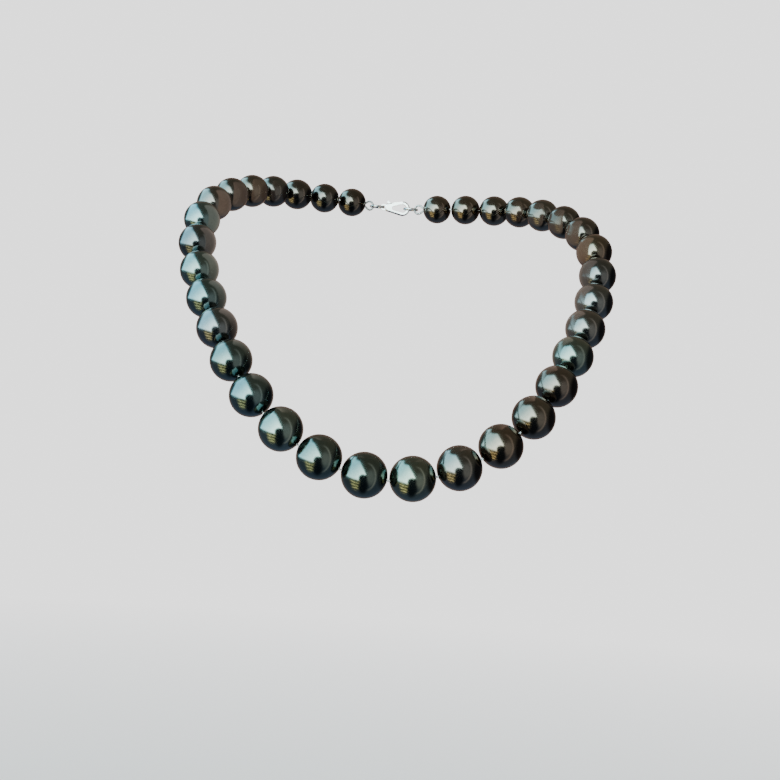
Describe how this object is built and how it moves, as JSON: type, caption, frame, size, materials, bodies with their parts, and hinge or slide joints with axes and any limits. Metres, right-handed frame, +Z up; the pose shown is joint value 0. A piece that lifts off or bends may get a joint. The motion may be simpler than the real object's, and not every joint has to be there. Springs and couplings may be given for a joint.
{
  "type": "pearl necklace",
  "caption": "Graduated strand of dark pearls on knotted silk, closed at the nape by a lobster clasp and draped as it is worn round a neck.",
  "frame": {"origin": "on the axis of the neck that the strand goes round, level with the clasp at the nape", "axes": "+Z up along the neck, -Y to the front where the largest pearls hang, +X to the right as the strand is looked at from the front; the strand is symmetric about X = 0"},
  "size_m": [0.1416, 0.1275, 0.1029],
  "materials": {
    "pearl_peacock": "high-lustre dark nacre with a green-blue overtone",
    "pearl_graphite": "high-lustre dark nacre with a grey overtone",
    "pearl_bronze": "high-lustre dark nacre with a brown-green overtone",
    "silk": "twisted silk thread",
    "gimp_wire": "fine coiled white-metal wire",
    "clasp_metal": "polished white metal",
    "spring_steel": "plain spring steel"
  },
  "bodies": {
    "clasp": {"lobster_body": "clasp_metal", "lever_pin": "clasp_metal", "lever_spring": "spring_steel"},
    "trigger": {"lobster_lever": "clasp_metal"},
    "jump_ring": {"jump_ring": "clasp_metal"},
    "tag_ring": {"tag_ring": "clasp_metal"},
    "strand_01": {"silk_row_01": "silk", "gimp_left": "gimp_wire", "gimp_right": "gimp_wire"},
    "strand_02": {"silk_row_02": "silk"},
    "strand_03": {"silk_row_03": "silk"},
    "strand_04": {"silk_row_04": "silk"},
    "strand_05": {"silk_row_05": "silk"},
    "strand_06": {"silk_row_06": "silk"},
    "strand_07": {"silk_row_07": "silk"},
    "strand_08": {"silk_row_08": "silk"},
    "strand_09": {"silk_row_09": "silk"},
    "strand_10": {"silk_row_10": "silk"},
    "strand_11": {"silk_row_11": "silk"},
    "strand_12": {"silk_row_12": "silk"},
    "strand_13": {"silk_row_13": "silk"},
    "strand_14": {"silk_row_14": "silk"},
    "strand_15": {"silk_row_15": "silk"},
    "strand_16": {"silk_row_16": "silk"},
    "strand_17": {"silk_row_17": "silk"},
    "pearl_left_01": {"pearl_left_01": "pearl_bronze"},
    "pearl_right_01": {"pearl_right_01": "pearl_bronze"},
    "pearl_left_02": {"pearl_left_02": "pearl_bronze"},
    "pearl_right_02": {"pearl_right_02": "pearl_bronze"},
    "pearl_left_03": {"pearl_left_03": "pearl_bronze"},
    "pearl_right_03": {"pearl_right_03": "pearl_bronze"},
    "pearl_left_04": {"pearl_left_04": "pearl_bronze"},
    "pearl_right_04": {"pearl_right_04": "pearl_bronze"},
    "pearl_left_05": {"pearl_left_05": "pearl_bronze"},
    "pearl_right_05": {"pearl_right_05": "pearl_graphite"},
    "pearl_left_06": {"pearl_left_06": "pearl_bronze"},
    "pearl_right_06": {"pearl_right_06": "pearl_bronze"},
    "pearl_left_07": {"pearl_left_07": "pearl_bronze"},
    "pearl_right_07": {"pearl_right_07": "pearl_bronze"},
    "pearl_left_08": {"pearl_left_08": "pearl_peacock"},
    "pearl_right_08": {"pearl_right_08": "pearl_bronze"},
    "pearl_left_09": {"pearl_left_09": "pearl_graphite"},
    "pearl_right_09": {"pearl_right_09": "pearl_graphite"},
    "pearl_left_10": {"pearl_left_10": "pearl_peacock"},
    "pearl_right_10": {"pearl_right_10": "pearl_graphite"},
    "pearl_left_11": {"pearl_left_11": "pearl_peacock"},
    "pearl_right_11": {"pearl_right_11": "pearl_graphite"},
    "pearl_left_12": {"pearl_left_12": "pearl_graphite"},
    "pearl_right_12": {"pearl_right_12": "pearl_peacock"},
    "pearl_left_13": {"pearl_left_13": "pearl_peacock"},
    "pearl_right_13": {"pearl_right_13": "pearl_bronze"},
    "pearl_left_14": {"pearl_left_14": "pearl_peacock"},
    "pearl_right_14": {"pearl_right_14": "pearl_bronze"},
    "pearl_left_15": {"pearl_left_15": "pearl_peacock"},
    "pearl_right_15": {"pearl_right_15": "pearl_bronze"},
    "pearl_left_16": {"pearl_left_16": "pearl_peacock"},
    "pearl_right_16": {"pearl_right_16": "pearl_graphite"},
    "pearl_left_17": {"pearl_left_17": "pearl_peacock"},
    "pearl_right_17": {"pearl_right_17": "pearl_peacock"}
  },
  "joints": [
    {"name": "clasp_trigger", "type": "hinge", "parent": "clasp", "child": "trigger", "pos_m": [-0.00135, 0.05607, 0.00081], "axis": [0, 1, 0], "range_deg": [0, 25], "stiffness_Nm_per_rad": 0.002, "springref_deg": -8.59, "deforming": ["lever_spring"]},
    {"name": "jump_ring_spin", "type": "hinge", "parent": "clasp", "child": "jump_ring", "pos_m": [-0.00605, 0.05607, -0.00014], "axis": [0, 0, 1], "continuous": true},
    {"name": "tag_ring_spin", "type": "hinge", "parent": "clasp", "child": "tag_ring", "pos_m": [0.00605, 0.05607, -0.00014], "axis": [0, 0, 1], "continuous": true},
    {"name": "fold_01", "type": "hinge", "parent": "clasp", "child": "strand_01", "pos_m": [0, 0.05607, -0.00014], "axis": [-1, 0, 0], "range_deg": [0, 15]},
    {"name": "fold_02", "type": "hinge", "parent": "strand_01", "child": "strand_02", "pos_m": [0, 0.04984, 0.00051], "axis": [-1, 0, 0], "range_deg": [0, 15]},
    {"name": "fold_03", "type": "hinge", "parent": "strand_02", "child": "strand_03", "pos_m": [0, 0.04619, 0.00062], "axis": [-1, 0, 0], "range_deg": [0, 15]},
    {"name": "fold_04", "type": "hinge", "parent": "strand_03", "child": "strand_04", "pos_m": [0, 0.03984, 0.00064], "axis": [-1, 0, 0], "range_deg": [0, 15]},
    {"name": "fold_05", "type": "hinge", "parent": "strand_04", "child": "strand_05", "pos_m": [0, 0.03096, -0.00009], "axis": [-1, 0, 0], "range_deg": [0, 15]},
    {"name": "fold_06", "type": "hinge", "parent": "strand_05", "child": "strand_06", "pos_m": [0, 0.02161, -0.00201], "axis": [-1, 0, 0], "range_deg": [0, 15]},
    {"name": "fold_07", "type": "hinge", "parent": "strand_06", "child": "strand_07", "pos_m": [0, 0.01172, -0.00533], "axis": [-1, 0, 0], "range_deg": [0, 15]},
    {"name": "fold_08", "type": "hinge", "parent": "strand_07", "child": "strand_08", "pos_m": [0, 0.00147, -0.01057], "axis": [-1, 0, 0], "range_deg": [0, 15]},
    {"name": "fold_09", "type": "hinge", "parent": "strand_08", "child": "strand_09", "pos_m": [0, -0.0084, -0.01813], "axis": [-1, 0, 0], "range_deg": [0, 15]},
    {"name": "fold_10", "type": "hinge", "parent": "strand_09", "child": "strand_10", "pos_m": [0, -0.01749, -0.02708], "axis": [-1, 0, 0], "range_deg": [0, 15]},
    {"name": "fold_11", "type": "hinge", "parent": "strand_10", "child": "strand_11", "pos_m": [0, -0.02642, -0.03619], "axis": [-1, 0, 0], "range_deg": [0, 15]},
    {"name": "fold_12", "type": "hinge", "parent": "strand_11", "child": "strand_12", "pos_m": [0, -0.03546, -0.0451], "axis": [-1, 0, 0], "range_deg": [0, 15]},
    {"name": "fold_13", "type": "hinge", "parent": "strand_12", "child": "strand_13", "pos_m": [0, -0.04407, -0.05434], "axis": [-1, 0, 0], "range_deg": [0, 15]},
    {"name": "fold_14", "type": "hinge", "parent": "strand_13", "child": "strand_14", "pos_m": [0, -0.05163, -0.06423], "axis": [-1, 0, 0], "range_deg": [0, 15]},
    {"name": "fold_15", "type": "hinge", "parent": "strand_14", "child": "strand_15", "pos_m": [0, -0.05719, -0.07414], "axis": [-1, 0, 0], "range_deg": [0, 15]},
    {"name": "fold_16", "type": "hinge", "parent": "strand_15", "child": "strand_16", "pos_m": [0, -0.05995, -0.08271], "axis": [-1, 0, 0], "range_deg": [0, 15]},
    {"name": "fold_17", "type": "hinge", "parent": "strand_16", "child": "strand_17", "pos_m": [0, -0.06132, -0.08885], "axis": [-1, 0, 0], "range_deg": [0, 15]},
    {"name": "pearl_left_01_spin", "type": "hinge", "parent": "strand_01", "child": "pearl_left_01", "pos_m": [-0.0153, 0.0522, 0.00026], "axis": [-0.8941, -0.4454, 0.0462], "continuous": true},
    {"name": "pearl_right_01_spin", "type": "hinge", "parent": "strand_01", "child": "pearl_right_01", "pos_m": [0.0153, 0.0522, 0.00026], "axis": [0.8941, -0.4454, 0.0462], "continuous": true},
    {"name": "pearl_left_02_spin", "type": "hinge", "parent": "strand_02", "child": "pearl_left_02", "pos_m": [-0.02517, 0.04802, 0.00056], "axis": [-0.9422, -0.3349, 0.0099], "continuous": true},
    {"name": "pearl_right_02_spin", "type": "hinge", "parent": "strand_02", "child": "pearl_right_02", "pos_m": [0.02517, 0.04802, 0.00056], "axis": [0.9422, -0.3349, 0.0099], "continuous": true},
    {"name": "pearl_left_03_spin", "type": "hinge", "parent": "strand_03", "child": "pearl_left_03", "pos_m": [-0.03489, 0.04301, 0.00063], "axis": [-0.8222, -0.5692, 0.0018], "continuous": true},
    {"name": "pearl_right_03_spin", "type": "hinge", "parent": "strand_03", "child": "pearl_right_03", "pos_m": [0.03489, 0.04301, 0.00063], "axis": [0.8222, -0.5692, 0.0018], "continuous": true},
    {"name": "pearl_left_04_spin", "type": "hinge", "parent": "strand_04", "child": "pearl_left_04", "pos_m": [-0.04308, 0.0354, 0.00027], "axis": [-0.6289, -0.7748, -0.0638], "continuous": true},
    {"name": "pearl_right_04_spin", "type": "hinge", "parent": "strand_04", "child": "pearl_right_04", "pos_m": [0.04308, 0.0354, 0.00027], "axis": [0.6289, -0.7748, -0.0638], "continuous": true},
    {"name": "pearl_left_05_spin", "type": "hinge", "parent": "strand_05", "child": "pearl_left_05", "pos_m": [-0.05009, 0.02629, -0.00105], "axis": [-0.5809, -0.7974, -0.1635], "continuous": true},
    {"name": "pearl_right_05_spin", "type": "hinge", "parent": "strand_05", "child": "pearl_right_05", "pos_m": [0.05009, 0.02629, -0.00105], "axis": [0.5809, -0.7974, -0.1635], "continuous": true},
    {"name": "pearl_left_06_spin", "type": "hinge", "parent": "strand_06", "child": "pearl_left_06", "pos_m": [-0.05646, 0.01667, -0.00367], "axis": [-0.4942, -0.8241, -0.2768], "continuous": true},
    {"name": "pearl_right_06_spin", "type": "hinge", "parent": "strand_06", "child": "pearl_right_06", "pos_m": [0.05646, 0.01667, -0.00367], "axis": [0.4942, -0.8241, -0.2768], "continuous": true},
    {"name": "pearl_left_07_spin", "type": "hinge", "parent": "strand_07", "child": "pearl_left_07", "pos_m": [-0.06155, 0.0066, -0.00795], "axis": [-0.3466, -0.8355, -0.4264], "continuous": true},
    {"name": "pearl_right_07_spin", "type": "hinge", "parent": "strand_07", "child": "pearl_right_07", "pos_m": [0.06155, 0.0066, -0.00795], "axis": [0.3466, -0.8355, -0.4264], "continuous": true},
    {"name": "pearl_left_08_spin", "type": "hinge", "parent": "strand_08", "child": "pearl_left_08", "pos_m": [-0.06446, -0.00346, -0.01435], "axis": [-0.1259, -0.7872, -0.6037], "continuous": true},
    {"name": "pearl_right_08_spin", "type": "hinge", "parent": "strand_08", "child": "pearl_right_08", "pos_m": [0.06446, -0.00346, -0.01435], "axis": [0.1259, -0.7872, -0.6037], "continuous": true},
    {"name": "pearl_left_09_spin", "type": "hinge", "parent": "strand_09", "child": "pearl_left_09", "pos_m": [-0.06474, -0.01294, -0.02261], "axis": [0.0797, -0.7105, -0.6992], "continuous": true},
    {"name": "pearl_right_09_spin", "type": "hinge", "parent": "strand_09", "child": "pearl_right_09", "pos_m": [0.06474, -0.01294, -0.02261], "axis": [-0.0797, -0.7105, -0.6992], "continuous": true},
    {"name": "pearl_left_10_spin", "type": "hinge", "parent": "strand_10", "child": "pearl_left_10", "pos_m": [-0.06285, -0.02195, -0.03164], "axis": [0.2125, -0.6837, -0.6981], "continuous": true},
    {"name": "pearl_right_10_spin", "type": "hinge", "parent": "strand_10", "child": "pearl_right_10", "pos_m": [0.06285, -0.02195, -0.03164], "axis": [-0.2125, -0.6837, -0.6981], "continuous": true},
    {"name": "pearl_left_11_spin", "type": "hinge", "parent": "strand_11", "child": "pearl_left_11", "pos_m": [-0.05945, -0.03094, -0.04064], "axis": [0.3015, -0.6794, -0.6689], "continuous": true},
    {"name": "pearl_right_11_spin", "type": "hinge", "parent": "strand_11", "child": "pearl_right_11", "pos_m": [0.05945, -0.03094, -0.04064], "axis": [-0.3015, -0.6794, -0.6689], "continuous": true},
    {"name": "pearl_left_12_spin", "type": "hinge", "parent": "strand_12", "child": "pearl_left_12", "pos_m": [-0.055, -0.03976, -0.04972], "axis": [0.3616, -0.6356, -0.6821], "continuous": true},
    {"name": "pearl_right_12_spin", "type": "hinge", "parent": "strand_12", "child": "pearl_right_12", "pos_m": [0.055, -0.03976, -0.04972], "axis": [-0.3616, -0.6356, -0.6821], "continuous": true},
    {"name": "pearl_left_13_spin", "type": "hinge", "parent": "strand_13", "child": "pearl_left_13", "pos_m": [-0.04959, -0.04785, -0.05928], "axis": [0.4298, -0.5484, -0.7173], "continuous": true},
    {"name": "pearl_right_13_spin", "type": "hinge", "parent": "strand_13", "child": "pearl_right_13", "pos_m": [0.04959, -0.04785, -0.05928], "axis": [-0.4298, -0.5484, -0.7173], "continuous": true},
    {"name": "pearl_left_14_spin", "type": "hinge", "parent": "strand_14", "child": "pearl_left_14", "pos_m": [-0.04252, -0.05441, -0.06918], "axis": [0.5852, -0.3968, -0.7072], "continuous": true},
    {"name": "pearl_right_14_spin", "type": "hinge", "parent": "strand_14", "child": "pearl_right_14", "pos_m": [0.04252, -0.05441, -0.06918], "axis": [-0.5852, -0.3968, -0.7072], "continuous": true},
    {"name": "pearl_left_15_spin", "type": "hinge", "parent": "strand_15", "child": "pearl_left_15", "pos_m": [-0.03291, -0.05857, -0.07843], "axis": [0.7743, -0.1939, -0.6024], "continuous": true},
    {"name": "pearl_right_15_spin", "type": "hinge", "parent": "strand_15", "child": "pearl_right_15", "pos_m": [0.03291, -0.05857, -0.07843], "axis": [-0.7743, -0.1939, -0.6024], "continuous": true},
    {"name": "pearl_left_16_spin", "type": "hinge", "parent": "strand_16", "child": "pearl_left_16", "pos_m": [-0.0209, -0.06064, -0.08578], "axis": [0.9001, -0.095, -0.4251], "continuous": true},
    {"name": "pearl_right_16_spin", "type": "hinge", "parent": "strand_16", "child": "pearl_right_16", "pos_m": [0.0209, -0.06064, -0.08578], "axis": [-0.9001, -0.095, -0.4251], "continuous": true},
    {"name": "pearl_left_17_spin", "type": "hinge", "parent": "strand_17", "child": "pearl_left_17", "pos_m": [-0.0072, -0.0617, -0.08998], "axis": [0.9867, -0.0518, -0.1541], "continuous": true},
    {"name": "pearl_right_17_spin", "type": "hinge", "parent": "strand_17", "child": "pearl_right_17", "pos_m": [0.0072, -0.0617, -0.08998], "axis": [-0.9867, -0.0518, -0.1541], "continuous": true}
  ]
}
